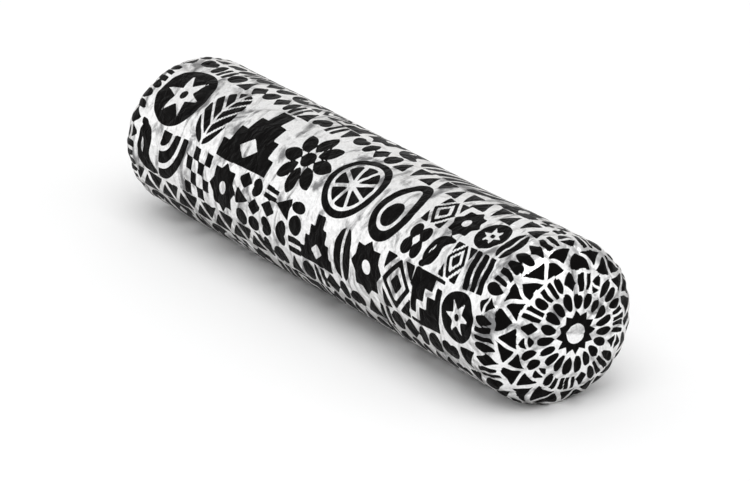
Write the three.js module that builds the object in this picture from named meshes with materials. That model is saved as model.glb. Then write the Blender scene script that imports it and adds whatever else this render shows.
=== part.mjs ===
// A burrito rolled up tight in one sheet of foil, closed at both ends and lying on its side.
// Millimetres, +Z up. X runs along the roll, and the plane Z = 0 is the surface it lies on.
import * as THREE from "three";

// The roll.
const LENGTH = 207;
const HALF_WIDTH = 25;
const HEIGHT_TO_WIDTH = 0.95; // the filling settles, so the section is lower than it is wide
const WAIST = 0.35; // how far the sides draw in at mid-length
const PRESSED_FLAT = 1.2; // how much of the round underside is pressed away where it lies

// The domed ends, ovals of this depth and fullness, with the middle pressed in a little.
const END_DEPTH = 12.8;
const END_FULLNESS = 2.35; // 2 is an ellipse, more is squarer
const END_DIMPLE = 0.7;
const DIMPLE_RADIUS = 5;

// The pleats, where the sheet is gathered round each end.
const PLEATS_FAR = 15;
const PLEATS_NEAR = 17;
const PLEAT_DEPTH = 0.6; // the deepest ones, and the shallowest have a fifth of it
const PLEAT_START = 0.2; // share of the half width at which the pleats rise out of the middle
const PLEAT_FULL = 0.75;
const PLEAT_RUN_OUT = 24; // how far they run on along the body before they die out

// The outer edge of the sheet, a low lip along the lower back of the roll.
const LIP_ANGLE = THREE.MathUtils.degToRad(-22);
const LIP_SPAN = THREE.MathUtils.degToRad(55);
const LIP_HEIGHT = 0.45;
const LIP_END_GAP = 16; // from each end of the roll to where the lip starts

// The filling's soft swells: height, waves along the roll, waves round it, and phase.
const SWELLS = [
  { height: 0.22, along: 2.5, around: 2, phase: 0.4 },
  { height: 0.16, along: 4.5, around: 3, phase: 2.1 },
  { height: 0.1, along: 7, around: 5, phase: 4.0 },
];

// How finely the surface is cut up.
const AROUND = 96;
const END_RINGS = 12;
const BODY_RINGS = 20;

// Goes from 0 to 1 as value goes from low to high, with soft ends.
function ease(value, low, high) {
  return THREE.MathUtils.smoothstep(value, low, high);
}

// The rings from the far pole to the near one: place along X, and radius over the half width.
function stations() {
  const dome = [];
  for (let i = 1; i <= END_RINGS; i++) {
    const turn = (i / END_RINGS) * (Math.PI / 2);
    const depth = END_DEPTH * (1 - Math.cos(turn) ** (2 / END_FULLNESS));
    dome.push({ depth, spread: Math.sin(turn) ** (2 / END_FULLNESS) });
  }
  const half = LENGTH / 2;
  const far = dome.map((d) => ({ x: d.depth - half, spread: d.spread }));
  const near = dome.map((d) => ({ x: half - d.depth, spread: d.spread })).reverse();
  const straight = LENGTH - 2 * END_DEPTH;
  const body = [];
  for (let i = 1; i < BODY_RINGS; i++)
    body.push({ x: (i / BODY_RINGS - 0.5) * straight, spread: 1 });
  return [...far, ...body, ...near];
}

// The pleats' relief, outwards: rounded ridges with narrow valleys, unevenly spaced and uneven in depth.
function pleat(x, spread, around) {
  const count = x < 0 ? PLEATS_FAR : PLEATS_NEAR;
  const turn = count * around + 1.1 * Math.sin(2 * around + x / LENGTH) + 0.7 * Math.sin(5 * around);
  const strength = 0.6 + 0.4 * Math.sin(3 * around + 1.3) * Math.cos(around - 0.5);
  const shoulder = LENGTH / 2 - END_DEPTH;
  const onDome = ease(spread, PLEAT_START, PLEAT_FULL);
  const runOut = 1 - ease(shoulder - Math.abs(x), 0, PLEAT_RUN_OUT * (1 + 0.4 * Math.sin(4 * around)));
  return -PLEAT_DEPTH * strength * onDome * runOut * (0.5 + 0.5 * Math.cos(turn)) ** 2;
}

// The lip's relief: it stands highest at the sheet's edge and dies out round the roll.
function lip(x, around) {
  const past = THREE.MathUtils.euclideanModulo(around - LIP_ANGLE, 2 * Math.PI) / LIP_SPAN;
  const reach = LENGTH / 2 - LIP_END_GAP;
  return past < 1 ? LIP_HEIGHT * (1 - past) * (1 - ease(Math.abs(x), reach - 12, reach)) : 0;
}

// The filling's relief.
function swell(x, spread, around) {
  let height = 0;
  for (const s of SWELLS) {
    const along = Math.sin((s.along * Math.PI * x) / LENGTH + s.phase);
    height += s.height * along * Math.cos(s.around * around + s.phase);
  }
  return height * ease(spread, PLEAT_START, 1);
}

// One point of the sheet, with the round underside pressed flat to Z = 0.
function point(station, around) {
  const { x, spread } = station;
  const waist = WAIST * (1 - (2 * x / LENGTH) ** 2);
  const relief = pleat(x, spread, around) + lip(x, around) + swell(x, spread, around) - waist;
  const radius = HALF_WIDTH * spread + relief * spread;
  const dimple = END_DIMPLE * Math.exp(-((HALF_WIDTH * spread / DIMPLE_RADIUS) ** 2));
  const middle = HALF_WIDTH * HEIGHT_TO_WIDTH - PRESSED_FLAT;
  const z = middle + radius * HEIGHT_TO_WIDTH * Math.sin(around);
  return [x - Math.sign(x) * dimple, radius * Math.cos(around), Math.max(z, 0)];
}

// The closed sheet: a pole, the rings joined by quads, and the other pole.
function sheetGeometry() {
  const rings = stations();
  const positions = [];
  const index = [];
  positions.push(...point({ x: -LENGTH / 2, spread: 0 }, 0));
  for (const ring of rings)
    for (let j = 0; j < AROUND; j++)
      positions.push(...point(ring, ((j + 0.5) / AROUND) * 2 * Math.PI));
  positions.push(...point({ x: LENGTH / 2, spread: 0 }, 0));
  const at = (i, j) => 1 + i * AROUND + (j % AROUND);
  const last = 1 + rings.length * AROUND;
  for (let j = 0; j < AROUND; j++) {
    index.push(0, at(0, j + 1), at(0, j));
    for (let i = 0; i + 1 < rings.length; i++) {
      index.push(at(i, j), at(i, j + 1), at(i + 1, j + 1));
      index.push(at(i, j), at(i + 1, j + 1), at(i + 1, j));
    }
    index.push(last, at(rings.length - 1, j), at(rings.length - 1, j + 1));
  }
  const geometry = new THREE.BufferGeometry();
  geometry.setAttribute("position", new THREE.Float32BufferAttribute(positions, 3));
  geometry.setIndex(index);
  geometry.computeBoundingBox();
  const centre = geometry.boundingBox.getCenter(new THREE.Vector3());
  geometry.translate(-centre.x, -centre.y, 0);
  geometry.computeVertexNormals();
  return geometry;
}

const foil = new THREE.MeshStandardMaterial({ color: 0xdcdddf, roughness: 0.35, metalness: 0.9 });

const burrito = new THREE.Group();
const wrapped = new THREE.Mesh(sheetGeometry(), foil);
wrapped.name = "wrapped_burrito";
burrito.add(wrapped);

export default burrito;
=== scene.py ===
"""A burrito rolled tight in one sheet of printed foil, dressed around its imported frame.

The sheet is one fine mesh in the form of the frame's solid, with the small folds, dents and crumples of
pressed foil pushed into it. Its print is a generic pattern of fruit, plants and simple shapes. Each figure
is a short formula for the distance to its nearest printed edge, which the mesh's points keep.
"""

import logging
import math
import random
from collections.abc import Callable, Sequence
from dataclasses import dataclass, field
from enum import Enum

import bmesh
import bpy
import numpy as np
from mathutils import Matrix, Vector, noise


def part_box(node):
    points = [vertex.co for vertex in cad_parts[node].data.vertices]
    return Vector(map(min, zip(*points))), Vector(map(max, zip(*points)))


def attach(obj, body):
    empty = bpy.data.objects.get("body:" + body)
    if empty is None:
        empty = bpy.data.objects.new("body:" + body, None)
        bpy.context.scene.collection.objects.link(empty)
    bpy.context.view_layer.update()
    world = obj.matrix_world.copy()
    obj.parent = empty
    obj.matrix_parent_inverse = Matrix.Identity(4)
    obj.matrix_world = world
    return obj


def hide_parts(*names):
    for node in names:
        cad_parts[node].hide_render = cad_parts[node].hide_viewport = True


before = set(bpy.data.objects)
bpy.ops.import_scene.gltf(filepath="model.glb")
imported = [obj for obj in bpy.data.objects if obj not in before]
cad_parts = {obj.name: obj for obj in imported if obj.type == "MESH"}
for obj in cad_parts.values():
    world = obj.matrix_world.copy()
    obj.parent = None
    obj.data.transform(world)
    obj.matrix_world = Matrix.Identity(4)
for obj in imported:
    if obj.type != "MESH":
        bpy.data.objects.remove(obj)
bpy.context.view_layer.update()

LOG = logging.getLogger("burrito")
NODE = "wrapped_burrito"
MM = 0.001
FULL_TURN = 2 * math.pi

# Points nearer to an end's middle than this, in millimetres, are that middle.
POLE = 1e-4
# The distance that stands for being far outside every figure.
OUTSIDE = -1e3
# How many discs a bent figure is made of, and how soon it thins towards its tip.
BENT_STEPS = 24
BENT_TAPER = 1.4

Field = np.ndarray
Colour = tuple[float, float, float, float]
Spot = tuple[float, float]
Range = tuple[float, float]


def linear(hex_colour: str) -> Colour:
    """Turns an sRGB hex colour into the linear colour that shaders take.

    Args:
        hex_colour: Six hex digits after a hash sign.

    Returns:
        Red, green, blue and alpha, each from 0 to 1.
    """
    # The sRGB curve is a straight toe and then a power of 2.4.
    channels = [int(hex_colour[i : i + 2], 16) / 255 for i in (1, 3, 5)]
    red, green, blue = (c / 12.92 if c <= 0.04045 else ((c + 0.055) / 1.055) ** 2.4 for c in channels)
    return red, green, blue, 1.0


def ease(value: Field, low: Field | float, high: Field | float) -> Field:
    """Goes from 0 to 1 as value goes from low to high, with soft ends."""
    share = np.clip((value - low) / (high - low), 0, 1)
    return share * share * (3 - 2 * share)


def read(items: bpy.types.bpy_prop_collection, name: str, kind: type, width: int = 1) -> Field:
    """Reads one property of all a mesh's points, corners or faces.

    Args:
        items: The mesh's points, corners, faces or values.
        name: The property's name.
        kind: The type of its numbers.
        width: How many numbers each item has.

    Returns:
        One number for each item, or one row where width is more than 1.
    """
    values = np.empty(len(items) * width, kind)
    items.foreach_get(name, values)
    return values.reshape(-1, width) if width > 1 else values


# The shapes that figures are made of, as distances inwards from their edges


def strip(place: Field, half: float) -> Field:
    """Distance into a straight strip of this half width."""
    return half - np.abs(place)


def strips(place: Field, pitch: float, half: float) -> Field:
    """Distance into three strips side by side, this pitch apart."""
    return strip(place - np.clip(np.round(place / pitch), -1, 1) * pitch, half)


def repeated(place: Field, pitch: float) -> Field:
    """Place read from the nearest of evenly spaced lines."""
    return (place + pitch / 2) % pitch - pitch / 2


def disc(x: Field, y: Field, radius: float) -> Field:
    """Distance into a disc."""
    return radius - np.hypot(x, y)


def block(x: Field, y: Field, wide: float, high: float) -> Field:
    """Distance into a rectangle with these half sizes."""
    return np.minimum(strip(x, wide), strip(y, high))


def diamond(x: Field, y: Field, size: float) -> Field:
    """Distance into a square on its corner."""
    return (size - np.abs(x) - np.abs(y)) / math.sqrt(2)


def petal(x: Field, y: Field, long: float, high: float) -> Field:
    """Distance into a pointed petal along X, with these half sizes."""
    radius = (long * long + high * high) / (2 * high)
    return radius - np.hypot(x, np.abs(y) + radius - high)


def bar(x: Field, y: Field, start: Spot, end: Spot, radius: float) -> Field:
    """Distance into a straight bar with round ends.

    Args:
        x: Places along X.
        y: Places along Y.
        start: The middle of its one end.
        end: The middle of its other end.
        radius: Half its thickness.

    Returns:
        The distance into it.
    """
    step = end[0] - start[0], end[1] - start[1]
    share = ((x - start[0]) * step[0] + (y - start[1]) * step[1]) / (step[0] ** 2 + step[1] ** 2)
    share = np.clip(share, 0, 1)
    return disc(x - start[0] - share * step[0], y - start[1] - share * step[1], radius)


def bent(x: Field, y: Field, line: Sequence[Spot], thick: float, tip: float) -> Field:
    """Distance into a bent shape that goes from thick to its tip.

    Args:
        x: Places along X.
        y: Places along Y.
        line: Where its middle line starts, the point that bends it, and where it ends.
        thick: Its radius at the start.
        tip: Its radius at the end.

    Returns:
        The distance into it.
    """
    result = np.full(x.shape, OUTSIDE)
    for step in range(BENT_STEPS + 1):
        share = step / BENT_STEPS
        weights = (1 - share) ** 2, 2 * share * (1 - share), share * share
        middle = [sum(w * spot[axis] for w, spot in zip(weights, line)) for axis in (0, 1)]
        radius = thick + (tip - thick) * share ** BENT_TAPER
        result = np.maximum(result, disc(x - middle[0], y - middle[1], radius))
    return result


def joined(*shapes: Field) -> Field:
    """Distance into any of several shapes."""
    return np.maximum.reduce(shapes)


def cut(shape: Field, *holes: Field) -> Field:
    """Distance into a shape with holes taken out of it."""
    return np.minimum(shape, -joined(*holes))


def rim(shape: Field, thick: float) -> Field:
    """Distance into the outer rim of a shape."""
    return np.minimum(shape, thick - shape)


def in_cell(x: Field, y: Field, shape: Field) -> Field:
    """Distance into the part of a shape that lies inside its cell."""
    return np.minimum(shape, block(x, y, wide=1, high=1))


def turned(x: Field, y: Field, angle: float) -> tuple[Field, Field]:
    """Places read in axes turned by an angle."""
    return x * math.cos(angle) + y * math.sin(angle), y * math.cos(angle) - x * math.sin(angle)


def folded_round(x: Field, y: Field, count: int) -> tuple[Field, Field]:
    """Folds the plane into one of count equal slices, which then lies along X.

    Args:
        x: Places along X.
        y: Places along Y.
        count: How many slices there are.

    Returns:
        The folded X and Y.
    """
    slice_angle = FULL_TURN / count
    angle = np.arctan2(y, x)
    folded = angle - np.round(angle / slice_angle) * slice_angle
    reach = np.hypot(x, y)
    return reach * np.cos(folded), reach * np.sin(folded)


def points(x: Field, y: Field, count: int, inner: float, outer: float) -> Field:
    """Distance into a star.

    Args:
        x: Places along X.
        y: Places along Y.
        count: How many points it has.
        inner: The radius at the bottom of its notches.
        outer: The radius at its points.

    Returns:
        The distance into it.
    """
    along, across = folded_round(x, y, count)
    half = math.pi / count
    edge = inner * math.cos(half) - outer, inner * math.sin(half)
    return (edge[0] * np.abs(across) - edge[1] * (along - outer)) / math.hypot(*edge)


def wedges(x: Field, y: Field, count: int, gap: float) -> Field:
    """Distance into wedges that meet in the middle, parted by bare lines.

    Args:
        x: Places along X.
        y: Places along Y.
        count: How many wedges there are.
        gap: Half the width of a bare line.

    Returns:
        The distance into the nearest wedge.
    """
    along, across = folded_round(x, y, count)
    half = math.pi / count
    return along * math.sin(half) - np.abs(across) * math.cos(half) - gap


def flight(x: Field, y: Field, gap: float) -> Field:
    """Distance into a flight of four steps that rises to the right, held back by a gap from its edge."""
    steps = [np.minimum(x + 1 - n / 2 - gap * (n > 0), n / 2 - 0.75 - gap - y) for n in range(4)]
    return joined(*steps)


# The figures, each in a cell that goes from -1 to 1 both ways


def sun(x: Field, y: Field) -> Field:
    """A disc in a ring of fourteen rays."""
    rays = cut(points(x, y, count=14, inner=0.76, outer=1.03), disc(x, y, radius=0.55))
    return joined(rays, disc(x, y, radius=0.42))


def crown(x: Field, y: Field) -> Field:
    """A round opening in twelve rays."""
    return cut(points(x, y, count=12, inner=0.78, outer=1.04), disc(x, y, radius=0.48))


def lime(x: Field, y: Field) -> Field:
    """A slice of lime: a rind and eight segments."""
    segments = np.minimum(disc(x, y, radius=0.68), wedges(x, y, count=8, gap=0.06))
    return joined(rim(disc(x, y, radius=1.0), thick=0.2), segments)


def tomato(x: Field, y: Field) -> Field:
    """A tomato from above, its leafy top left bare round the stalk."""
    leafy_top = points(x, y, count=6, inner=0.3, outer=0.78)
    return joined(cut(disc(x, y, radius=0.98), leafy_top), disc(x, y, radius=0.13))


def pepper(x: Field, y: Field) -> Field:
    """A curved chilli pepper with a stalk and a shine.

    Args:
        x: Places along X.
        y: Places along Y.

    Returns:
        The distance into it.
    """
    body = bent(x, y, line=((-0.28, 0.24), (-0.4, -0.74), (0.88, -0.84)), thick=0.62, tip=0.1)
    stalk = bent(x, y, line=((-0.34, 0.7), (-0.4, 0.9), (-0.76, 0.88)), thick=0.17, tip=0.14)
    shine = petal(*turned(x + 0.42, y + 0.02, angle=math.radians(-72)), long=0.36, high=0.11)
    return joined(cut(body, shine), stalk)


def cactus(x: Field, y: Field) -> Field:
    """A cactus with two raised arms."""
    return joined(
        bar(x, y, start=(0, -0.7), end=(0, 0.68), radius=0.3),
        bar(x, y, start=(-0.78, -0.3), end=(0, -0.3), radius=0.2),
        bar(x, y, start=(-0.78, -0.3), end=(-0.78, 0.3), radius=0.22),
        bar(x, y, start=(0, -0.02), end=(0.78, -0.02), radius=0.2),
        bar(x, y, start=(0.78, -0.02), end=(0.78, 0.62), radius=0.22),
    )


def maize(x: Field, y: Field) -> Field:
    """A cob of maize, its rows of grains parted by bare lines, between two husk leaves.

    Args:
        x: Places along X.
        y: Places along Y.

    Returns:
        The distance into it.
    """
    cob = petal(y - 0.06, x, long=1.0, high=0.68)
    lines = joined(strip(np.abs(x) - 0.22, half=0.07), strip(repeated(y - 0.03, pitch=0.36), half=0.06))
    husk = petal(*turned(y + 0.46, np.abs(x) - 0.6, angle=math.radians(24)), long=0.62, high=0.36)
    around_cob = petal(y - 0.06, x, long=1.12, high=0.8)
    return joined(cut(cob, lines), cut(husk, around_cob))


def flower(x: Field, y: Field) -> Field:
    """Eight petals round a disc."""
    along, across = folded_round(x, y, count=8)
    return joined(petal(along - 0.66, across, long=0.36, high=0.22), disc(x, y, radius=0.25))


def leaf(x: Field, y: Field) -> Field:
    """An upright leaf, its midrib and slanting veins left bare."""
    veins = strip(repeated(y - 0.8 * np.abs(x) - 0.08, pitch=0.46) * 0.78, half=0.055)
    return cut(petal(y, x, long=1.0, high=0.86), strip(x, half=0.065), veins)


def split_leaf(x: Field, y: Field) -> Field:
    """An upright leaf with only its midrib left bare."""
    return cut(petal(y, x, long=1.0, high=0.94), strip(x, half=0.15))


def avocado(x: Field, y: Field) -> Field:
    """Half an avocado: the skin and the stone."""
    whole = bent(x, y, line=((0, -0.2), (0, 0.2), (0, 0.52)), thick=0.8, tip=0.5)
    return joined(rim(whole, thick=0.29), disc(x, y + 0.22, radius=0.35))


def tile(x: Field, y: Field) -> Field:
    """A diamond within a diamond, with the corners filled."""
    outer = cut(diamond(x, y, size=0.98), diamond(x, y, size=0.7))
    return in_cell(x, y, joined(diamond(x, y, size=0.38), outer, -diamond(x, y, size=1.3)))


def clover(x: Field, y: Field) -> Field:
    """Four round lobes that meet round a small bare middle."""
    along, across = folded_round(*turned(x, y, angle=math.pi / 4), count=4)
    return cut(disc(along - 0.64, across, radius=0.44), disc(x, y, radius=0.26))


def star(x: Field, y: Field) -> Field:
    """An eight-pointed star with a round hole."""
    whole = joined(block(x, y, wide=0.74, high=0.74), diamond(x, y, size=1.04))
    return cut(whole, disc(x, y, radius=0.28))


def pyramid(x: Field, y: Field) -> Field:
    """A pyramid of four steps with a diamond window."""
    steps = [block(x, y + 0.75 - n / 4, wide=1 - n / 4, high=(n + 1) / 4) for n in range(4)]
    return cut(joined(*steps), diamond(x, y + 0.45, size=0.34))


def stairs(x: Field, y: Field) -> Field:
    """Two flights of steps that face each other across a bare line."""
    return in_cell(x, y, joined(flight(x, y, gap=0.13), flight(-x, -y, gap=0.13)))


def shell(x: Field, y: Field) -> Field:
    """A quarter of a shell, fanned out of one corner in three bands."""
    reach = np.hypot(x + 1, y + 1)
    return in_cell(
        x, y, joined(strip(reach, half=0.64), strip(reach - 1.12, half=0.24), strip(reach - 1.8, half=0.2))
    )


def checks(x: Field, y: Field) -> Field:
    """A board of sixteen squares, every other one filled."""
    squares = [block(x % 1.0 - middle, y % 1.0 - middle, wide=0.25, high=0.25) for middle in (0.25, 0.75)]
    return in_cell(x, y, joined(*squares))


def stripes(x: Field, y: Field) -> Field:
    """Three slanting bars."""
    return np.minimum(strips(x * 1.25 - 0.3 * y, pitch=0.72, half=0.25) * 0.8, strip(y, half=1))


def tooth(x: Field, y: Field) -> Field:
    """A triangle as wide and high as its cell."""
    return np.minimum(y + 1, (1 - y - 2 * np.abs(x)) / math.sqrt(5))


def slope(x: Field, y: Field) -> Field:
    """Half a zigzag: the cell parted by one bare slanting line."""
    return np.minimum(-strip((x - y) / math.sqrt(2), half=0.3), strip(y, half=1))


def upright(x: Field, y: Field) -> Field:
    """One upright petal."""
    return petal(y, x, long=1.0, high=0.96)


def bean(x: Field, y: Field) -> Field:
    """A kidney bean."""
    return bent(x, y, line=((-0.42, 0.3), (0.02, -0.66), (0.46, 0.24)), thick=0.56, tip=0.5)


def dot(x: Field, y: Field) -> Field:
    """A round dot."""
    return disc(x, y, radius=0.95)


def split_diamond(x: Field, y: Field) -> Field:
    """Two triangles, base to base across a bare line."""
    return cut(diamond(x, y, size=1.12), strip(y, half=0.2))


def bars(x: Field, y: Field) -> Field:
    """Two upright bars."""
    return block(np.abs(x) - 0.64, y, wide=0.37, high=1)


def seed(x: Field, y: Field) -> Field:
    """A plump seed, pointed at its upper end."""
    return joined(disc(x, y * 0.98 + 0.06, radius=0.96), petal(y - 0.1, x, long=0.94, high=0.62))


def small_diamond(x: Field, y: Field) -> Field:
    """A square on its corner."""
    return diamond(x, y, size=1.08)


# The print, laid out in bands and rings


@dataclass(frozen=True)
class Figure:
    """How a figure is drawn, its width over its height, and whether it keeps a gap from the next one."""

    shape: Callable[[Field, Field], Field]
    aspect: float
    spaced: bool = True

    def draw(self, x: Field, y: Field, wide: float, high: float) -> Field:
        """Distance in millimetres into the figure, in a cell with these half sizes."""
        return self.shape(x / wide, y / high) * min(wide, high)


class Motif(Enum):
    """The figures of the print."""

    SUN = Figure(sun, aspect=1.0)
    LIME = Figure(lime, aspect=1.0)
    TOMATO = Figure(tomato, aspect=1.0)
    PEPPER = Figure(pepper, aspect=0.92)
    CACTUS = Figure(cactus, aspect=0.92)
    MAIZE = Figure(maize, aspect=0.74)
    FLOWER = Figure(flower, aspect=1.0)
    LEAF = Figure(leaf, aspect=0.72)
    SPLIT_LEAF = Figure(split_leaf, aspect=0.62)
    AVOCADO = Figure(avocado, aspect=0.82)
    TILE = Figure(tile, aspect=0.9)
    CLOVER = Figure(clover, aspect=1.0)
    STAR = Figure(star, aspect=1.0)
    PYRAMID = Figure(pyramid, aspect=1.1)
    STAIRS = Figure(stairs, aspect=0.95)
    SHELL = Figure(shell, aspect=1.0)
    CHECKS = Figure(checks, aspect=0.95)
    STRIPES = Figure(stripes, aspect=1.15)
    TOOTH = Figure(tooth, aspect=0.95)
    SLOPE = Figure(slope, aspect=0.66, spaced=False)
    DIAMOND = Figure(small_diamond, aspect=0.85)
    UPRIGHT = Figure(upright, aspect=0.62)
    BEAN = Figure(bean, aspect=1.1)
    DOT = Figure(dot, aspect=0.92)
    CROWN = Figure(crown, aspect=1.0)
    SEED = Figure(seed, aspect=0.56)
    LOZENGE = Figure(small_diamond, aspect=0.72)
    OVAL = Figure(dot, aspect=0.66)
    SPLIT = Figure(split_diamond, aspect=0.84)
    BARS = Figure(bars, aspect=0.74)


class Family(Enum):
    """Figures whose strokes stay thick enough at one size of row."""

    LARGE = (
        Motif.SUN, Motif.PYRAMID, Motif.LIME, Motif.CACTUS, Motif.PEPPER,
        Motif.FLOWER, Motif.TOMATO, Motif.MAIZE, Motif.LEAF, Motif.AVOCADO,
    )
    MEDIUM = (
        Motif.TILE, Motif.STAR, Motif.PYRAMID, Motif.CLOVER, Motif.SHELL, Motif.CHECKS,
        Motif.SPLIT_LEAF, Motif.STRIPES, Motif.STAIRS, Motif.TOMATO, Motif.PEPPER,
    )
    SMALL = (Motif.TOOTH, Motif.DIAMOND, Motif.UPRIGHT, Motif.BEAN, Motif.DOT, Motif.BARS)
    TEETH = (Motif.TOOTH,)
    ZIGZAG = (Motif.SLOPE,)
    SEEDS = (Motif.SEED,)
    NARROW = (Motif.SEED, Motif.BARS, Motif.LOZENGE, Motif.OVAL, Motif.SPLIT, Motif.SEED, Motif.BARS)


@dataclass(frozen=True)
class Run:
    """A stretch of a band: a share of its length, filled with rows of a family, or with columns."""

    share: float
    family: Family
    rows: int = 1
    columns: bool = False


@dataclass(frozen=True)
class Band:
    """A strip of the print along the roll, of this height in millimetres, split into runs."""

    height: float
    runs: tuple[Run, ...]


@dataclass(frozen=True)
class EndRing:
    """A ring of the print round an end, between two distances from its middle in millimetres."""

    inner: float
    outer: float
    family: Family


BANDS = (
    Band(14.0, (Run(0.22, Family.SMALL, rows=2), Run(0.78, Family.MEDIUM))),
    Band(7.0, (Run(0.6, Family.SMALL), Run(0.4, Family.TEETH))),
    Band(24.0, (Run(0.77, Family.LARGE), Run(0.23, Family.MEDIUM, rows=2))),
    Band(17.0, (
        Run(0.32, Family.MEDIUM), Run(0.2, Family.SMALL, rows=5, columns=True), Run(0.48, Family.MEDIUM),
    )),
    Band(7.5, (Run(0.4, Family.ZIGZAG), Run(0.6, Family.SMALL))),
    Band(13.5, (Run(0.55, Family.MEDIUM), Run(0.45, Family.SMALL, rows=2))),
    Band(7.0, (Run(1.0, Family.SMALL),)),
    Band(18.5, (
        Run(0.34, Family.LARGE), Run(0.2, Family.SMALL, rows=5, columns=True), Run(0.46, Family.LARGE),
    )),
    Band(8.0, (Run(0.5, Family.SMALL), Run(0.5, Family.TEETH))),
    Band(20.0, (Run(0.6, Family.LARGE), Run(0.4, Family.MEDIUM, rows=2))),
    Band(13.0, (Run(0.4, Family.SMALL, rows=2), Run(0.6, Family.MEDIUM))),
    Band(7.5, (Run(0.55, Family.ZIGZAG), Run(0.45, Family.SMALL))),
)

CROWN_RADIUS = 6.3
RINGS = (
    EndRing(6.8, 12.2, Family.SEEDS),
    EndRing(12.6, 18.2, Family.NARROW),
    EndRing(18.6, 25.0, Family.ZIGZAG),
    EndRing(25.4, 32.0, Family.NARROW),
)


@dataclass
class PrintedPattern:
    """The generic print, laid out over the unrolled sheet in millimetres.

    A row has its last figure once it falls short by less than its height times row_slack, and its figures
    are then stretched or squeezed to fit. The ink has spread a little past the drawn edges, as it does on
    foil.
    """

    around_length: float
    along_start: float
    along_end: float
    first_band_at: float
    seed: int = 11
    row_slack: float = 0.4
    least_gap: float = 0.4
    gap_share: float = 0.024
    ink_spread: float = 0.08
    choice: random.Random = field(init=False)

    def __post_init__(self) -> None:
        """Seeds the choice of figures."""
        self.choice = random.Random(self.seed)

    def fill(self, family: Family, width: float, height: float) -> list[Figure]:
        """Picks the figures of a row, each used once before any comes back.

        Args:
            family: Where they come from.
            width: The row's length.
            height: The row's height.

        Returns:
            The figures in order.
        """
        picked, left, filled = [], [], 0.0
        while filled < width - self.row_slack * height:
            if not left:
                left = list(family.value)
                self.choice.shuffle(left)
                if picked and len(left) > 1 and left[-1] is picked[-1]:
                    left.reverse()
            picked.append(left.pop())
            filled += picked[-1].value.aspect * height
        return [motif.value for motif in picked]

    def row(self, x: Field, y: Field, family: Family, width: float, height: float) -> Field:
        """Draws a row of figures side by side, every other one upside down unless they are large.

        Args:
            x: Places along the row, from its start.
            y: Places across the row, from its middle.
            family: Which figures it is made of.
            width: The row's length.
            height: The row's height.

        Returns:
            Distance into the ink at each place.
        """
        figures = self.fill(family, width, height)
        stretch = width / sum(figure.aspect * height for figure in figures)
        gap = self.least_gap + self.gap_share * height
        result = np.full(x.shape, OUTSIDE)
        start = 0.0
        for number, figure in enumerate(figures):
            cell = figure.aspect * height * stretch
            mine = (x >= start) & (x < start + cell)
            side = 1 if number % 2 and family is not Family.LARGE else -1
            wide = (cell - gap * figure.spaced) / 2
            drawn = figure.draw(x[mine] - start - cell / 2, side * y[mine], wide, (height - gap) / 2)
            result[mine] = drawn + self.ink_spread
            start += cell
        return result

    def run(self, x: Field, y: Field, run: Run, width: float, height: float) -> Field:
        """Draws a run of a band, as rows or as columns.

        Args:
            x: Places along the run, from its start.
            y: Places across the band, from its upper edge.
            run: What fills it.
            width: The run's length.
            height: The band's height.

        Returns:
            Distance into the ink at each place.
        """
        if run.columns:
            x, y, width, height = y, x, height, width
        row_height = height / run.rows
        result = np.full(x.shape, OUTSIDE)
        for row in range(run.rows):
            mine = (y >= row * row_height) & (y < (row + 1) * row_height)
            across = y[mine] - (row + 0.5) * row_height
            result[mine] = self.row(x[mine], across, run.family, width, row_height)
        return result

    def on_body(self, along: Field, around: Field) -> Field:
        """Draws the bands along the roll.

        Args:
            along: Distance along the sheet from the far end's middle.
            around: Distance round the roll.

        Returns:
            Distance into the ink at each place.
        """
        scale = self.around_length / sum(band.height for band in BANDS)
        length = self.along_end - self.along_start
        result = np.full(along.shape, OUTSIDE)
        place = (around - self.first_band_at) % self.around_length
        low = 0.0
        for band in BANDS:
            height = band.height * scale
            in_band = (place >= low) & (place < low + height)
            start = self.along_start
            for run in band.runs:
                width = run.share * length
                mine = in_band & (along >= start) & (along < start + width)
                result[mine] = self.run(along[mine] - start, place[mine] - low, run, width, height)
                start += width
            low += height
        return result

    def on_end(self, reach: Field, angle: Field, girth: Callable[[float], float]) -> Field:
        """Draws the crown in the middle of an end and the rings round it.

        Args:
            reach: Distance along the sheet from the end's middle.
            angle: Angle round the end.
            girth: Gives the length round the end at a distance from its middle.

        Returns:
            Distance into the ink at each place.
        """
        x, y = reach * np.cos(angle), reach * np.sin(angle)
        result = Motif.CROWN.value.draw(x, y, CROWN_RADIUS, CROWN_RADIUS)
        for ring in RINGS:
            mine = (reach >= ring.inner) & (reach < ring.outer)
            middle = (ring.inner + ring.outer) / 2
            width = girth(middle)
            height = ring.outer - ring.inner
            place = angle[mine] / FULL_TURN % 1.0 * width
            result[mine] = self.row(place, middle - reach[mine], ring.family, width, height)
        return result


# The roll under the sheet


@dataclass(frozen=True)
class Swell:
    """One soft swell of the filling: its height, waves along the roll, waves round it, and phase."""

    height: float
    along: float
    around: int
    phase: float


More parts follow.
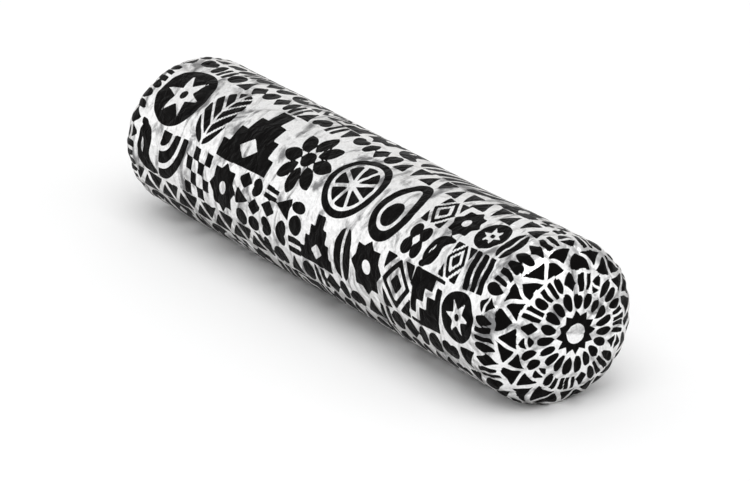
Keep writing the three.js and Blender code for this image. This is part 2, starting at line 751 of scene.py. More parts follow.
@dataclass(frozen=True)
class Roll:
    """The form of the roll in millimetres, with the same named sizes as the frame's solid."""

    length: float = 207.0
    half_width: float = 25.0
    height_to_width: float = 0.95
    waist: float = 0.35
    pressed_flat: float = 1.2
    end_depth: float = 12.8
    end_fullness: float = 2.35
    end_dimple: float = 0.7
    dimple_radius: float = 5.0
    pleats_far: int = 15
    pleats_near: int = 17
    pleat_depth: float = 0.6
    pleat_start: float = 0.2
    pleat_full: float = 0.75
    pleat_run_out: float = 24.0
    lip_angle: float = math.radians(-22)
    lip_span: float = math.radians(55)
    lip_height: float = 0.45
    lip_end_gap: float = 16.0
    lip_fade: float = 12.0
    swells: tuple[Swell, ...] = (
        Swell(height=0.22, along=2.5, around=2, phase=0.4),
        Swell(height=0.16, along=4.5, around=3, phase=2.1),
        Swell(height=0.1, along=7.0, around=5, phase=4.0),
    )
    outline_steps: int = 400

    @property
    def middle_height(self) -> float:
        """How high the roll's axis lies over the floor."""
        return self.half_width * self.height_to_width - self.pressed_flat

    def outline(self) -> Field:
        """Works out the outline from the far end's middle to the near one's.

        Returns:
            Rows of place along X and radius.
        """
        turn = np.linspace(0, math.pi / 2, self.outline_steps)
        depth = self.end_depth * (1 - np.cos(turn) ** (2 / self.end_fullness))
        radius = self.half_width * np.sin(turn) ** (2 / self.end_fullness)
        half = self.length / 2
        far = np.stack([depth - half, radius], 1)
        near = np.stack([half - depth, radius], 1)[::-1]
        return np.concatenate([far, near])

    def pleat(self, x: Field, spread: Field, around: Field) -> Field:
        """Relief of the pleats round the ends, with the waves that the solid's own pleats have.

        Args:
            x: Place along the roll.
            spread: Radius over the half width.
            around: Angle round the roll.

        Returns:
            How far each place stands out.
        """
        count = np.where(x < 0, self.pleats_far, self.pleats_near)
        turn = count * around + 1.1 * np.sin(2 * around + x / self.length) + 0.7 * np.sin(5 * around)
        strength = 0.6 + 0.4 * np.sin(3 * around + 1.3) * np.cos(around - 0.5)
        shoulder = self.length / 2 - self.end_depth
        on_dome = ease(spread, self.pleat_start, self.pleat_full)
        run_out = 1 - ease(shoulder - np.abs(x), 0, self.pleat_run_out * (1 + 0.4 * np.sin(4 * around)))
        return -self.pleat_depth * strength * on_dome * run_out * (0.5 + 0.5 * np.cos(turn)) ** 2

    def lip(self, x: Field, around: Field) -> Field:
        """Relief of the sheet's outer edge along the lower back.

        Args:
            x: Place along the roll.
            around: Angle round the roll.

        Returns:
            How far each place stands out.
        """
        past = ((around - self.lip_angle) % FULL_TURN) / self.lip_span
        reach = self.length / 2 - self.lip_end_gap
        fade = 1 - ease(np.abs(x), reach - self.lip_fade, reach)
        return np.where(past < 1, self.lip_height * (1 - past) * fade, 0)

    def swelling(self, x: Field, spread: Field, around: Field) -> Field:
        """Relief of the filling under the sheet.

        Args:
            x: Place along the roll.
            spread: Radius over the half width.
            around: Angle round the roll.

        Returns:
            How far each place stands out.
        """
        height = np.zeros(x.shape)
        for swell in self.swells:
            wave = np.sin(swell.along * math.pi * x / self.length + swell.phase)
            height += swell.height * wave * np.cos(swell.around * around + swell.phase)
        return height * ease(spread, self.pleat_start, 1)

    def surface(self, x: Field, spread: Field, around: Field) -> Field:
        """The roll's surface, centred on its box and pressed flat underneath.

        Args:
            x: Place along the roll.
            spread: Radius over the half width.
            around: Angle round the roll, from +Y up.

        Returns:
            One row of X, Y and Z in millimetres for each point.
        """
        waist = self.waist * (1 - (2 * x / self.length) ** 2)
        relief = self.pleat(x, spread, around) + self.lip(x, around) + self.swelling(x, spread, around)
        radius = (self.half_width + relief - waist) * spread
        dimple = self.end_dimple * np.exp(-((self.half_width * spread / self.dimple_radius) ** 2))
        z = np.maximum(self.middle_height + radius * self.height_to_width * np.sin(around), 0)
        places = np.stack([x - np.sign(x) * dimple, radius * np.cos(around), z], 1)
        centre = (places.max(0) + places.min(0)) / 2
        return places - [centre[0], centre[1], 0]


@dataclass(frozen=True)
class SheetPoints:
    """Every point of the sheet before it is creased, in millimetres and radians.

    They are given as distance along the sheet from the far end's middle, radius over the half width, angle
    round the roll from +Y up, and X, Y and Z on the smooth roll.
    """

    along: Field
    spread: Field
    around: Field
    rest: Field
    half_width: float

    @property
    def total(self) -> float:
        """The whole distance along the sheet, from the far end's middle to the near one's."""
        return float(self.along.max())

    @property
    def reach(self) -> Field:
        """Distance along the sheet from the nearer end's middle."""
        return np.minimum(self.along, self.total - self.along)

    def beside(self, angle: Field | float) -> Field:
        """Distance round the roll from a line at this angle, by the shorter way."""
        turn = (self.around - angle + math.pi) % FULL_TURN - math.pi
        return turn * self.spread * self.half_width


# The wrinkles, all of them pushed inwards


@dataclass(frozen=True)
class Crease:
    """One small fold that runs out from an end and drifts round the roll as it goes."""

    near_end: bool
    angle: float
    start: float
    stop: float
    depth: float
    width: float
    drift: float
    start_fade: Range = (-2.0, 2.0)
    stop_fade: Range = (-5.0, 3.0)

    def relief(self, sheet: SheetPoints) -> Field:
        """Works out how deep the fold is.

        Args:
            sheet: Every point of the sheet.

        Returns:
            The depth at each point.
        """
        reach = sheet.total - sheet.along if self.near_end else sheet.along
        side = sheet.beside(self.angle + self.drift * (reach - self.start))
        begun = ease(reach, self.start + self.start_fade[0], self.start + self.start_fade[1])
        ended = ease(reach, self.stop + self.stop_fade[0], self.stop + self.stop_fade[1])
        return self.depth * begun * (1 - ended) * np.exp(-((side / self.width) ** 2))


@dataclass(frozen=True)
class Dent:
    """One small dent where the foil was pinched: long, narrow and slanting."""

    along: float
    angle: float
    depth: float
    length: float
    width: float
    slant: float

    def relief(self, sheet: SheetPoints) -> Field:
        """How deep the dent is at each point of the sheet."""
        lengthwise, across = turned(sheet.along - self.along, sheet.beside(self.angle), self.slant)
        return self.depth * np.exp(-((lengthwise / self.length) ** 2) - ((across / self.width) ** 2))


@dataclass(frozen=True)
class DentSizes:
    """What a dent's depth, length, width and slant are drawn from."""

    depth: Range
    length: Range
    width: Range
    slant: Range

    def drawn(self, draw: random.Random, along: float, angle: float) -> Dent:
        """Draws one dent that lies this far along the sheet and at this angle round it."""
        sizes = [draw.uniform(*span) for span in (self.depth, self.length, self.width, self.slant)]
        return Dent(along, angle, *sizes)


@dataclass(frozen=True)
class EndFold:
    """The thin straight fold that closing the sheet pressed across the middle of each end."""

    angle: float = math.radians(-14)
    reach: float = 4.5
    fade: float = 1.0
    depth: float = 0.28
    width: float = 0.45

    def relief(self, sheet: SheetPoints, middle_height: float) -> Field:
        """Works out how deep the fold is.

        Args:
            sheet: Every point of the sheet.
            middle_height: How high the roll's axis lies.

        Returns:
            The depth at each point.
        """
        up = sheet.rest[:, 2] - middle_height
        side = sheet.rest[:, 1] * math.sin(self.angle) - up * math.cos(self.angle)
        shown = 1 - ease(sheet.reach, self.reach - self.fade, self.reach + self.fade)
        return self.depth * shown * np.exp(-((side / self.width) ** 2))


@dataclass(frozen=True)
class Crumple:
    """The faint net of folds over foil that was handled, worked out from two layers of noise.

    Sizes and depth are in millimetres. A fold lies where a noise passes zero, and a line's width is in the
    noise's own value. The facets between the folds sink a little too.
    """

    size: float = 15.0
    depth: float = 0.16
    squeeze_along: float = 0.75
    warp_scale: float = 0.7
    warp: float = 0.55
    line_width: float = 0.07
    finer: float = 2.3
    finer_offset: tuple[float, float, float] = (9.1, 3.3, 5.7)
    finer_line_width: float = 0.09
    finer_share: float = 0.6
    facet_share: float = 0.9

    def depth_at(self, place: Field) -> float:
        """Works out how deep the net is at one place.

        Args:
            place: X, Y and Z in millimetres.

        Returns:
            The depth there.
        """
        spot = Vector((place[0] * self.squeeze_along, place[1], place[2])) / self.size
        spot += noise.noise_vector(spot * self.warp_scale) * self.warp
        line = noise.noise(spot)
        finer_line = noise.noise(spot * self.finer + Vector(self.finer_offset))
        folds = math.exp(-((line / self.line_width) ** 2))
        finer_folds = math.exp(-((finer_line / self.finer_line_width) ** 2))
        return self.depth * (folds + self.finer_share * finer_folds + self.facet_share * abs(line))


@dataclass(frozen=True)
class Wrinkles:
    """All that hands pressed into the foil, drawn by a seeded rule, in millimetres and radians.

    Angles are shifted by a share of the step from one fold or dent to the next.
    """

    seed: int = 7
    end_creases: int = 46
    crease_starts: tuple[float, ...] = (4.0, 9.0, 16.0, 22.0)
    crease_start_shift: Range = (-2.0, 2.0)
    crease_angle_shift: Range = (-0.4, 0.4)
    crease_length: Range = (6.0, 24.0)
    crease_depth: Range = (0.08, 0.34)
    crease_width: Range = (0.55, 1.1)
    crease_drift: Range = (-0.006, 0.006)
    end_dents: int = 8
    end_dent_reach: Range = (27.0, 36.0)
    end_dent_shift: Range = (-0.3, 0.3)
    end_dent_sizes: DentSizes = DentSizes(
        depth=(0.2, 0.44), length=(2.0, 4.0), width=(1.0, 1.8), slant=(-0.6, 0.6)
    )
    body_dents: int = 26
    body_dent_margin: float = 40.0
    body_dent_sizes: DentSizes = DentSizes(
        depth=(0.15, 0.4), length=(1.4, 3.2), width=(0.7, 1.3), slant=(0.4, 1.9)
    )
    crumple: Crumple = Crumple()
    end_fold: EndFold = EndFold()

    def creases(self) -> list[Crease]:
        """Draws the small folds of the two gathered ends.

        Returns:
            The folds, those of the far end first.
        """
        draw = random.Random(self.seed)
        found = []
        for near_end in (False, True):
            for number in range(self.end_creases):
                start = draw.choice(self.crease_starts) + draw.uniform(*self.crease_start_shift)
                found.append(Crease(
                    near_end=near_end,
                    angle=(number + draw.uniform(*self.crease_angle_shift)) / self.end_creases * FULL_TURN,
                    start=start,
                    stop=start + draw.uniform(*self.crease_length),
                    depth=draw.uniform(*self.crease_depth),
                    width=draw.uniform(*self.crease_width),
                    drift=draw.uniform(*self.crease_drift),
                ))
        return found

    def dents(self, total: float) -> list[Dent]:
        """Draws the small dents round each shoulder and over the body.

        Args:
            total: The whole distance along the sheet.

        Returns:
            The dents, those of the shoulders first.
        """
        draw = random.Random(self.seed + 1)
        found = []
        for near_end in (False, True):
            for number in range(self.end_dents):
                reach = draw.uniform(*self.end_dent_reach)
                along = total - reach if near_end else reach
                angle = (number + draw.uniform(*self.end_dent_shift)) / self.end_dents * FULL_TURN
                found.append(self.end_dent_sizes.drawn(draw, along, angle))
        for _ in range(self.body_dents):
            along = draw.uniform(self.body_dent_margin, total - self.body_dent_margin)
            angle = draw.uniform(0, FULL_TURN)
            found.append(self.body_dent_sizes.drawn(draw, along, angle))
        return found

    def relief(self, sheet: SheetPoints, middle_height: float) -> Field:
        """Adds up how deep the foil is pressed in.

        Args:
            sheet: Every point of the sheet.
            middle_height: How high the roll's axis lies.

        Returns:
            The depth below the smooth roll at each point.
        """
        depth = np.array([self.crumple.depth_at(place) for place in sheet.rest])
        for wrinkle in [*self.creases(), *self.dents(sheet.total)]:
            depth += wrinkle.relief(sheet)
        return depth + self.end_fold.relief(sheet, middle_height)


# The sheet


@dataclass(frozen=True)
class SheetPrint:
    """How the print lies on the sheet, pulled about a little by the wrapping.

    Sizes are in millimetres. The pull comes from noise of two sizes: a broad one everywhere, stronger
    towards the ends, and a tight crimp at the ends only. It dies out at each end's middle, so that the
    crown stays round.
    """

    first_band_angle: float = math.radians(50)
    far_turn: float = 0.3
    ring_gap: float = 0.4
    pull_size: float = 11.0
    pull_body: float = 0.7
    pull_end: float = 1.7
    crimp_size: float = 3.6
    crimp_end: float = 1.0
    end_fade: Range = (22.0, 45.0)
    calm_middle: float = 12.0

    @staticmethod
    def wander(rest: Field, size: float) -> Field:
        """Two numbers of smooth noise for each point, with features of this size in millimetres."""
        return np.array([noise.noise_vector(Vector(place / size))[:2] for place in rest])

    def pull(self, sheet: SheetPoints) -> Field:
        """Works out how far the sheet was pulled about in wrapping.

        Args:
            sheet: Every point of the sheet.

        Returns:
            One row for each point: how far along the sheet and how far round it.
        """
        at_end = (1 - ease(sheet.reach, *self.end_fade))[:, None]
        broad = self.pull_body + (self.pull_end - self.pull_body) * at_end
        moved = self.wander(sheet.rest, self.pull_size) * broad
        crimped = self.wander(sheet.rest, self.crimp_size) * self.crimp_end * at_end
        return (moved + crimped) * ease(sheet.reach, 0, self.calm_middle)[:, None]

    def ink(self, sheet: SheetPoints, roll: Roll) -> Field:
        """Draws the print on the sheet's points.

        Args:
            sheet: Every point of the sheet.
            roll: The form under it.

        Returns:
            Distance into the ink at each point, and below 0 on bare foil.
        """
        outline = roll.outline()
        arc = np.concatenate([[0], np.cumsum(np.hypot(*np.diff(outline, axis=0).T))])

        def girth(reach: float) -> float:
            """Length round the roll at a distance from an end's middle."""
            return FULL_TURN * float(np.interp(reach, arc, outline[:, 1]))

        edge = RINGS[-1].outer + self.ring_gap
        pulled = self.pull(sheet)
        along = sheet.along + pulled[:, 0]
        angle = sheet.around + pulled[:, 1] / roll.half_width
        pattern = PrintedPattern(
            around_length=FULL_TURN * roll.half_width,
            along_start=edge,
            along_end=sheet.total - edge,
            first_band_at=self.first_band_angle * roll.half_width,
        )
        body = pattern.on_body(along, angle * roll.half_width)
        far = pattern.on_end(along, angle + self.far_turn, girth)
        near = pattern.on_end(sheet.total - along, angle, girth)
        return np.where(along < edge, far, np.where(along > sheet.total - edge, near, body))


@dataclass
class FoilSheet:
    """The printed foil round the burrito: its fine mesh, its wrinkles, its print and its finish.

    Sizes are in millimetres. The mesh is denser towards the ends, where the print is finest. The distance
    into the ink is kept within ink_reach, and the crease attribute is 1 where the foil is pressed in by
    deep_fold or more.
    """

    roll: Roll = Roll()
    wrinkles: Wrinkles = Wrinkles()
    printing: SheetPrint = SheetPrint()
    noise_seed: int = 1
    around_steps: int = 270
    along_steps: int = 365
    outline_samples: int = 2000
    end_density: float = 0.55
    dense_reach: float = 30.0
    dense_fade: float = 10.0
    merge_within: float = 1e-3
    ink_reach: float = 1.5
    deep_fold: float = 0.45

    def rows(self, total: float) -> Field:
        """Spaces the mesh's rows along the outline, closer towards the ends.

        Args:
            total: The outline's whole length.

        Returns:
            Each row's distance along it.
        """
        places = np.linspace(0, total, self.outline_samples)
        reach = np.minimum(places, total - places)
        dense = 1 - ease(reach, self.dense_reach, self.dense_reach + self.dense_fade)
        density = 1 + self.end_density * dense
        steps_to = np.concatenate([[0], np.cumsum((density[1:] + density[:-1]) / 2)])
        return np.interp(np.linspace(0, steps_to[-1], self.along_steps + 1), steps_to, places)

    def mesh(self) -> bpy.types.Mesh:
        """Spins the roll's outline into a closed mesh.

        Returns:
            The mesh, in millimetres, whose points keep their distance along the sheet.
        """
        outline = self.roll.outline()
        arc = np.concatenate([[0], np.cumsum(np.hypot(*np.diff(outline, axis=0).T))])
        bm = bmesh.new()
        along = bm.verts.layers.float.new("along")
        last = None
        for distance in self.rows(arc[-1]):
            x, radius = (np.interp(distance, arc, outline[:, axis]) for axis in (0, 1))
            vert = bm.verts.new((x, radius, 0))
            vert[along] = distance
            if last is not None:
                bm.edges.new((last, vert))
            last = vert
        bmesh.ops.spin(
            bm, geom=[*bm.verts, *bm.edges], cent=(0, 0, 0), axis=(1, 0, 0), dvec=(0, 0, 0),
            angle=FULL_TURN, steps=self.around_steps, use_merge=True, use_duplicate=False,
        )
        poles = [vert for vert in bm.verts if math.hypot(vert.co.y, vert.co.z) < POLE]
        bmesh.ops.remove_doubles(bm, verts=poles, dist=self.merge_within)
        bmesh.ops.recalc_face_normals(bm, faces=bm.faces)
        mesh = bpy.data.meshes.new("printed_foil")
        bm.to_mesh(mesh)
        bm.free()
        return mesh

    def sheet_points(self, mesh: bpy.types.Mesh) -> SheetPoints:
        """Finds where the roll's surface puts each point of the spun mesh.

        Args:
            mesh: The spun mesh.

        Returns:
            The sheet's points.
        """
        spun = read(mesh.vertices, "co", np.float32, width=3).astype(float)
        along = read(mesh.attributes["along"].data, "value", np.float32).astype(float)
        spread = np.hypot(spun[:, 1], spun[:, 2]) / self.roll.half_width
        around = np.arctan2(spun[:, 2], spun[:, 1])
        rest = self.roll.surface(spun[:, 0], spread, around)
        return SheetPoints(along, spread, around, rest, self.roll.half_width)

    def unroll(self, mesh: bpy.types.Mesh, sheet: SheetPoints) -> None:
        """Writes the UV map, along the sheet and round the roll, with its seam along one line of the mesh.

        Args:
            mesh: The mesh that gets it.
            sheet: The mesh's points.
        """
        corners = read(mesh.loops, "vertex_index", np.int64)
        starts = read(mesh.polygons, "loop_start", np.int64)
        sizes = read(mesh.polygons, "loop_total", np.int64)
        face = np.repeat(np.arange(len(sizes)), sizes)
        along = sheet.along[corners]
        share = (sheet.around[corners] / FULL_TURN) % 1.0
        at_pole = (along < POLE) | (along > sheet.total - POLE)
        # A corner half a turn behind its face's furthest one lies past the seam, so it goes on by a turn.
        furthest = np.maximum.reduceat(np.where(at_pole, -1.0, share), starts)[face]
        share = np.where(~at_pole & (furthest - share > 0.5), share + 1.0, share)
        # An end's middle takes the mean of its face's other corners.
        sums = np.add.reduceat(np.where(at_pole, 0.0, share), starts)
        counts = np.add.reduceat((~at_pole).astype(float), starts)
        share = np.where(at_pole, (sums / counts)[face], share)
        widest = 1 + 1 / self.around_steps
        coordinates = np.stack([along / sheet.total, share / widest], 1)
        layer = mesh.uv_layers.new(name="OFBake")
        layer.data.foreach_set("uv", coordinates.astype(np.float32).ravel())

    def build(self) -> bpy.types.Object:
        """Builds the sheet as one object in the frame.

        Returns:
            The finished object, with its print and wrinkles as attributes.
        """
        # Unseeded, the vector noise of the wrinkles and of the print would change with the clock.
        noise.seed_set(self.noise_seed)
        mesh = self.mesh()
        sheet = self.sheet_points(mesh)
        depth = self.wrinkles.relief(sheet, self.roll.middle_height)
        self.place(mesh, sheet.rest)
        creased = sheet.rest - read(mesh.vertices, "normal", np.float32, width=3) * depth[:, None]
        # The flat strip underneath stays flat, and nothing is pushed below it.
        creased[:, 2] = np.where(sheet.rest[:, 2] <= 0, 0, np.maximum(creased[:, 2], 0))
        self.place(mesh, self.inside_frame(creased))
        self.unroll(mesh, sheet)
        ink = self.printing.ink(sheet, self.roll)
        self.keep(mesh, "ink", np.clip(ink, -self.ink_reach, self.ink_reach))
        self.keep(mesh, "crease", np.clip(depth / self.deep_fold, 0, 1))
        mesh.attributes.remove(mesh.attributes["along"])
        mesh.polygons.foreach_set("use_smooth", np.ones(len(mesh.polygons), bool))
        piece = bpy.data.objects.new("printed_foil", mesh)
        bpy.context.scene.collection.objects.link(piece)
        return piece

    def inside_frame(self, places: Field) -> Field:
        """Fits the points into the frame's own box.

        Args:
            places: One row of X, Y and Z in millimetres for each point.

        Returns:
            The rows, centred on the box and no larger than it is.
        """
        low, high = (np.array(corner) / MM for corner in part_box(NODE))
        size = places.max(0) - places.min(0)
        share = np.minimum((high - low) / size, 1)
        middle = (places.max(0) + places.min(0)) / 2
        moved = (places - [middle[0], middle[1], 0]) * share
        return moved + [(low[0] + high[0]) / 2, (low[1] + high[1]) / 2, 0]

    @staticmethod
    def place(mesh: bpy.types.Mesh, places: Field) -> None:
        """Moves the mesh's points to places given in millimetres."""
        mesh.vertices.foreach_set("co", (places * MM).astype(np.float32).ravel())
        mesh.update()

    @staticmethod
    def keep(mesh: bpy.types.Mesh, name: str, values: Field) -> None:
        """Keeps one number for each point as an attribute."""
        layer = mesh.attributes.new(name, "FLOAT", "POINT")
        layer.data.foreach_set("value", values.astype(np.float32))

    def dress(self, piece: bpy.types.Object) -> None:
        """Gives the sheet its finish and its place in the frame.

        Args:
            piece: The finished sheet.
        """
        piece.data.materials.append(PrintedFoil().material())
        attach(piece, "root")
        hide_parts(NODE)


# The finishes


def add(
    owner: bpy.types.Material | bpy.types.World,
    kind: str,
    links: dict[str | int, bpy.types.NodeSocket] | None = None,
    values: dict[str | int, object] | None = None,
    **settings: object,
) -> bpy.types.Node:
    """Adds a shader node.

    Args:
        owner: The material or world it goes into.
        kind: The node's type name, without the ShaderNode at its front.
        links: What feeds each linked input, by the input's name or number.
        values: What each other input is set to, by its name or number.
        settings: The node's own settings.

    Returns:
        The new node.
    """
    node = owner.node_tree.nodes.new("ShaderNode" + kind)
    for name, value in settings.items():
        setattr(node, name, value)
    for name, value in (values or {}).items():
        node.inputs[name].default_value = value
    for name, source in (links or {}).items():
        owner.node_tree.links.new(source, node.inputs[name])
    return node


@dataclass(frozen=True)
class PrintedFoil:
    """Aluminium foil, its bright side out, printed in black by gravure.

    Sizes, depths and heights are in millimetres.
    """

    # Polished rollers leave bare foil nearly mirror bright, and pressing it into countless small facets
    # spreads the reflections, so that it reads as white metal; its soft grey patches are painted
    # reflections.
    bright: str = "#F6F6F6"
    foil_roughness: float = 0.3

    # In soft blots the bare foil is painted grey, a painted dark reflection of its crumpled facets, and it
    # is really duller there. The blots are a noise, moved, turned and squeezed to lie across the roll, and
    # a little stronger towards its top. Deep folds get painted shade in the same grey.
    painted_reflection: str = "#858586"
    patch_roughness: float = 0.45
    painted_patch_size: float = 9.5
    painted_patch_place: tuple[float, float, float] = (31.0, 0.0, 0.0)
    painted_patch_turn: tuple[float, float, float] = (0.1, 0.25, 0.3)
    painted_patch_squeeze: tuple[float, float, float] = (1.5, 0.8, 0.9)
    painted_patch_detail: float = 4.0
    painted_patch_warp: float = 0.9
    painted_patch_range: Range = (0.525, 0.67)
    more_at_top: float = 0.012
    top_height: float = 46.5
    painted_fold_shade_range: Range = (0.45, 1.1)
    painted_fold_shade_most: float = 0.75

    # Rolling marks are some thousandths of a millimetre apart, too fine to show, so the grain that breaks
    # up the shine is drawn as coarse as it needs to show.
    grain_size: float = 0.6
    grain_detail: float = 2.0
    grain_range: Range = (0.36, 0.66)
    grain_shade: float = 0.17
    grain_depth: float = 0.04
    grain_strength: float = 0.5

    # The soft crinkle of foil that was once pressed, and the sharp folds between its flat facets.
    crinkle_size: float = 6.0
    crinkle_detail: float = 3.0
    crinkle_warp: float = 0.8
    crinkle_depth: float = 1.2
    crinkle_strength: float = 1.0
    facet_size: float = 8.0
    facet_detail: float = 2.0
    facet_edge: float = 0.16
    facet_depth: float = 0.25
    facet_strength: float = 0.8
    noise_roughness: float = 0.55

    # The ink is a thin satin coat, near black with hardly any gloss, and its edge is 0.1 mm soft.
    ink: str = "#0D0C0C"
    ink_roughness: float = 0.42
    ink_specular: float = 0.02
    ink_edge: float = 0.05

    # At a slant, bare foil mirrors a little less than white, which keeps its outline off the pale floor.
    edge_tint: str = "#D3D1CF"

    def material(self) -> bpy.types.Material:
        """Makes the shader: a metal where bare, a dark coat where printed.

        Returns:
            The finished material.
        """
        made = bpy.data.materials.new("printed_aluminium_foil")
        made.use_nodes = True
        shader = made.node_tree.nodes["Principled BSDF"]
        place = add(made, "TexCoord").outputs["Object"]
        grain = add(made, "TexNoise", {"Vector": place}, {
            "Scale": 1 / (self.grain_size * MM), "Detail": self.grain_detail}).outputs["Fac"]
        shade = self.shade(made, place, grain)
        distance = add(made, "Attribute", attribute_name="ink").outputs["Fac"]
        printed = add(made, "MapRange", {"Value": distance}, {
            "From Min": -self.ink_edge, "From Max": self.ink_edge}).outputs["Result"]
        # Bare foil goes from white to grey by the shade share: painted dark reflections, painted shade in
        # deep folds, and a fine grain.
        foil = add(made, "Mix", {0: shade}, {
            6: linear(self.bright), 7: linear(self.painted_reflection)}, data_type="RGBA").outputs[2]
        colour = add(made, "Mix", {0: printed, 6: foil}, {
            7: linear(self.ink)}, data_type="RGBA").outputs[2]
        dull = add(made, "MapRange", {"Value": shade}, {
            "To Min": self.foil_roughness, "To Max": self.patch_roughness}).outputs["Result"]
        rough = add(made, "Mix", {0: printed, 2: dull}, {
            3: self.ink_roughness}, data_type="FLOAT").outputs[0]
        metal = add(made, "Math", {1: printed}, {0: 1.0}, operation="SUBTRACT").outputs[0]
        made.node_tree.links.new(colour, shader.inputs["Base Color"])
        made.node_tree.links.new(rough, shader.inputs["Roughness"])
        made.node_tree.links.new(metal, shader.inputs["Metallic"])
        made.node_tree.links.new(self.relief(made, place, grain), shader.inputs["Normal"])
        shader.inputs["Specular IOR Level"].default_value = self.ink_specular
        shader.inputs["Specular Tint"].default_value = linear(self.edge_tint)
        return made

    def shade(
        self, made: bpy.types.Material, place: bpy.types.NodeSocket, grain: bpy.types.NodeSocket
    ) -> bpy.types.NodeSocket:
        """Adds the nodes for how grey the bare foil is painted: painted dark reflections, painted shade in
        deep folds, and grain.

        Args:
            made: The material they go into.
            place: Where each spot lies on the object.
            grain: The foil's fine grain.

        Returns:
            A share from 0, bright, to 1, the full painted grey.
        """
        # Blots of painted dark reflection, standing in for crumpled facets that mirror a darker surround.
        slanted = add(made, "Mapping", {"Vector": place}, {
            "Location": tuple(size * MM for size in self.painted_patch_place),
            "Rotation": self.painted_patch_turn,
            "Scale": self.painted_patch_squeeze}).outputs["Vector"]
        painted_patch_noise = add(made, "TexNoise", {"Vector": slanted}, {
            "Scale": 1 / (self.painted_patch_size * MM), "Detail": self.painted_patch_detail,
            "Roughness": self.noise_roughness, "Distortion": self.painted_patch_warp}).outputs["Fac"]
        # The painted reflection blots grow a little towards the roll's top.
        height = add(made, "SeparateXYZ", {"Vector": place}).outputs["Z"]
        height_bias = add(made, "MapRange", {"Value": height}, {
            "From Max": self.top_height * MM,
            "To Min": -self.more_at_top, "To Max": self.more_at_top}).outputs["Result"]
        painted_reflection = add(made, "Math", {0: painted_patch_noise, 1: height_bias}, operation="ADD").outputs[0]
        painted_patch = add(made, "MapRange", {"Value": painted_reflection}, {
            "From Min": self.painted_patch_range[0], "From Max": self.painted_patch_range[1]}).outputs["Result"]
        # Painted shade in the deep folds: the foil is drawn greyer where it is pressed in furthest.
        crease = add(made, "Attribute", attribute_name="crease").outputs["Fac"]
        painted_fold_shade = add(made, "MapRange", {"Value": crease}, {
            "From Min": self.painted_fold_shade_range[0], "From Max": self.painted_fold_shade_range[1],
            "To Max": self.painted_fold_shade_most}).outputs["Result"]
        speckle = add(made, "MapRange", {"Value": grain}, {
            "From Min": self.grain_range[0], "From Max": self.grain_range[1],
            "To Max": self.grain_shade}).outputs["Result"]
        painted_shade_share = add(made, "Math", {0: painted_patch, 1: painted_fold_shade}, operation="MAXIMUM").outputs[0]
        return add(made, "Math", {0: painted_shade_share, 1: speckle}, operation="ADD", use_clamp=True).outputs[0]

    def relief(
        self, made: bpy.types.Material, place: bpy.types.NodeSocket, grain: bpy.types.NodeSocket
    ) -> bpy.types.NodeSocket:
        """Adds the nodes for the relief that is too fine for the mesh.

        Args:
            made: The material they go into.
            place: Where each spot lies on the object.
            grain: The foil's fine grain.

        Returns:
            The bent normal.
        """
        crinkle = add(made, "TexNoise", {"Vector": place}, {
            "Scale": 1 / (self.crinkle_size * MM), "Detail": self.crinkle_detail,
            "Roughness": self.noise_roughness, "Distortion": self.crinkle_warp}).outputs["Fac"]
        drift = add(made, "TexNoise", {"Vector": place}, {
            "Scale": 1 / (self.painted_patch_size * MM), "Detail": self.facet_detail}).outputs["Color"]
        warped = add(made, "VectorMath", {0: drift, 2: place}, {
            1: (self.facet_size * MM,) * 3}, operation="MULTIPLY_ADD").outputs["Vector"]
        border = add(made, "TexVoronoi", {"Vector": warped}, {
            "Scale": 1 / (self.facet_size * MM)}, feature="DISTANCE_TO_EDGE").outputs["Distance"]
        fold = add(made, "MapRange", {"Value": border}, {"From Max": self.facet_edge}).outputs["Result"]
        broad = add(made, "Bump", {"Height": crinkle}, {
            "Strength": self.crinkle_strength, "Distance": self.crinkle_depth * MM}).outputs["Normal"]
        folded = add(made, "Bump", {"Height": fold, "Normal": broad}, {
            "Strength": self.facet_strength, "Distance": self.facet_depth * MM}).outputs["Normal"]
        return add(made, "Bump", {"Height": grain, "Normal": folded}, {
            "Strength": self.grain_strength, "Distance": self.grain_depth * MM}).outputs["Normal"]


@dataclass(frozen=True)
class MattePaper:
    """White background paper, rolled smooth and uncoated."""

    # Its fibres scatter all the light, so it shows no reflections, only soft shadows.
    colour: str = "#F4F4F4"
    roughness: float = 0.85

    def material(self) -> bpy.types.Material:
        """Makes the shader.

        Returns:
            The finished material.
        """
        made = bpy.data.materials.new("matte_white_paper")
        made.use_nodes = True
        shader = made.node_tree.nodes["Principled BSDF"]
        shader.inputs["Base Color"].default_value = linear(self.colour)
        shader.inputs["Roughness"].default_value = self.roughness
        return made


# The studio


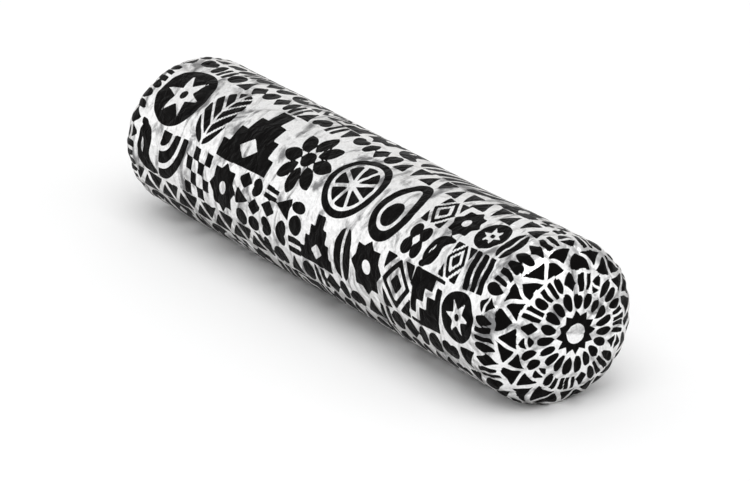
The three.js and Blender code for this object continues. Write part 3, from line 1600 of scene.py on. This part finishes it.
@dataclass
class Studio:
    """The pale floor, the soft light and the camera at the photograph's angle, in metres and radians."""

    # The camera, fitted to the object's outline in the photograph, and its sensor in millimetres.
    azimuth: float = math.radians(56.56)
    elevation: float = math.radians(20.96)
    distance: float = 1.1821
    aim_right: float = 0.0026
    aim_up: float = -0.0057
    axis_height: float = 0.0226
    focal_pixels: float = 4102.0
    image_width: int = 750
    sensor_width: float = 36.0
    nearest_shown: float = 0.05

    floor_size: float = 6.0
    floor_sides: int = 64

    # The surround's strength: low down across the roll, low down off its ends, and high up.
    sky_colour: str = "#FFFFFF"
    sky_across: float = 0.28
    sky_ends: float = 1.31
    ends_from: float = 0.28
    sky_high: float = 0.7
    sky_turn: float = 1.15

    # The lamp, whose height and place towards the camera put the highlight on the near shoulder.
    lamp_power: float = 34.9
    lamp_size: float = 2.5
    lamp_height: float = 2.4
    lamp_forward: float = 1.1

    def camera(self) -> bpy.types.Object:
        """Places the camera.

        Returns:
            The camera.
        """
        back = Vector((
            math.sin(self.azimuth) * math.cos(self.elevation),
            -math.cos(self.azimuth) * math.cos(self.elevation),
            math.sin(self.elevation),
        ))
        right = Vector((math.cos(self.azimuth), math.sin(self.azimuth), 0))
        up = back.cross(right)
        lens = bpy.data.cameras.new("photo_camera")
        lens.sensor_width = self.sensor_width
        lens.lens = self.focal_pixels * self.sensor_width / self.image_width
        lens.clip_start = self.nearest_shown
        camera = bpy.data.objects.new("photo_camera", lens)
        aim = Vector((0, 0, self.axis_height))
        camera.location = aim + back * self.distance + right * self.aim_right + up * self.aim_up
        camera.rotation_euler = back.to_track_quat("Z", "Y").to_euler()
        bpy.context.scene.collection.objects.link(camera)
        bpy.context.scene.camera = camera
        return camera

    def floor(self) -> bpy.types.Object:
        """Lays the floor, a wide disc of paper.

        Returns:
            The floor.
        """
        bm = bmesh.new()
        bmesh.ops.create_circle(bm, cap_ends=True, radius=self.floor_size / 2, segments=self.floor_sides)
        mesh = bpy.data.meshes.new("paper_floor")
        bm.to_mesh(mesh)
        bm.free()
        mesh.materials.append(MattePaper().material())
        floor = bpy.data.objects.new("paper_floor", mesh)
        bpy.context.scene.collection.objects.link(floor)
        return floor

    def surround(self) -> None:
        """Sets up the white surround, which is brightest low down off the roll's two ends."""
        world = bpy.data.worlds.new("white_surround")
        world.use_nodes = True
        background = world.node_tree.nodes["Background"]
        background.inputs["Color"].default_value = linear(self.sky_colour)
        direction = add(world, "TexCoord").outputs["Generated"]
        axes = add(world, "SeparateXYZ", {"Vector": direction}).outputs
        endwise = add(world, "Math", {0: axes["X"], 1: axes["X"]}, operation="MULTIPLY").outputs[0]
        low = add(world, "MapRange", {"Value": endwise}, {
            "From Max": self.ends_from,
            "To Min": self.sky_across, "To Max": self.sky_ends}).outputs["Result"]
        glow = add(world, "MapRange", {"Value": axes["Z"], "To Min": low}, {
            "From Max": self.sky_turn, "To Max": self.sky_high},
            interpolation_type="SMOOTHSTEP").outputs["Result"]
        world.node_tree.links.new(glow, background.inputs["Strength"])
        bpy.context.scene.world = world

    def lamp(self) -> bpy.types.Object:
        """Hangs one large soft lamp, level, above the camera's side of the roll.

        Returns:
            The lamp.
        """
        light = bpy.data.lights.new("overhead_softbox", "AREA")
        light.energy = self.lamp_power
        light.size = self.lamp_size
        lamp = bpy.data.objects.new("overhead_softbox", light)
        lamp.location = (
            math.sin(self.azimuth) * self.lamp_forward,
            -math.cos(self.azimuth) * self.lamp_forward,
            self.lamp_height,
        )
        bpy.context.scene.collection.objects.link(lamp)
        return lamp

    def build(self) -> None:
        """Sets up the whole studio, with plain colours that no tone curve changes."""
        pieces = self.camera(), self.floor(), self.lamp()
        self.surround()
        bpy.context.scene.view_settings.view_transform = "Standard"
        LOG.info("studio: %s", ", ".join(piece.name for piece in pieces))


def main() -> None:
    """Builds the studio and the wrapped burrito, and reports each piece."""
    logging.basicConfig(level=logging.INFO, format="%(name)s: %(message)s")
    Studio().build()
    sheet = FoilSheet()
    piece = sheet.build()
    sheet.dress(piece)
    LOG.info("%s: %d points, %d faces", piece.name, len(piece.data.vertices), len(piece.data.polygons))


if __name__ == "__main__":
    main()
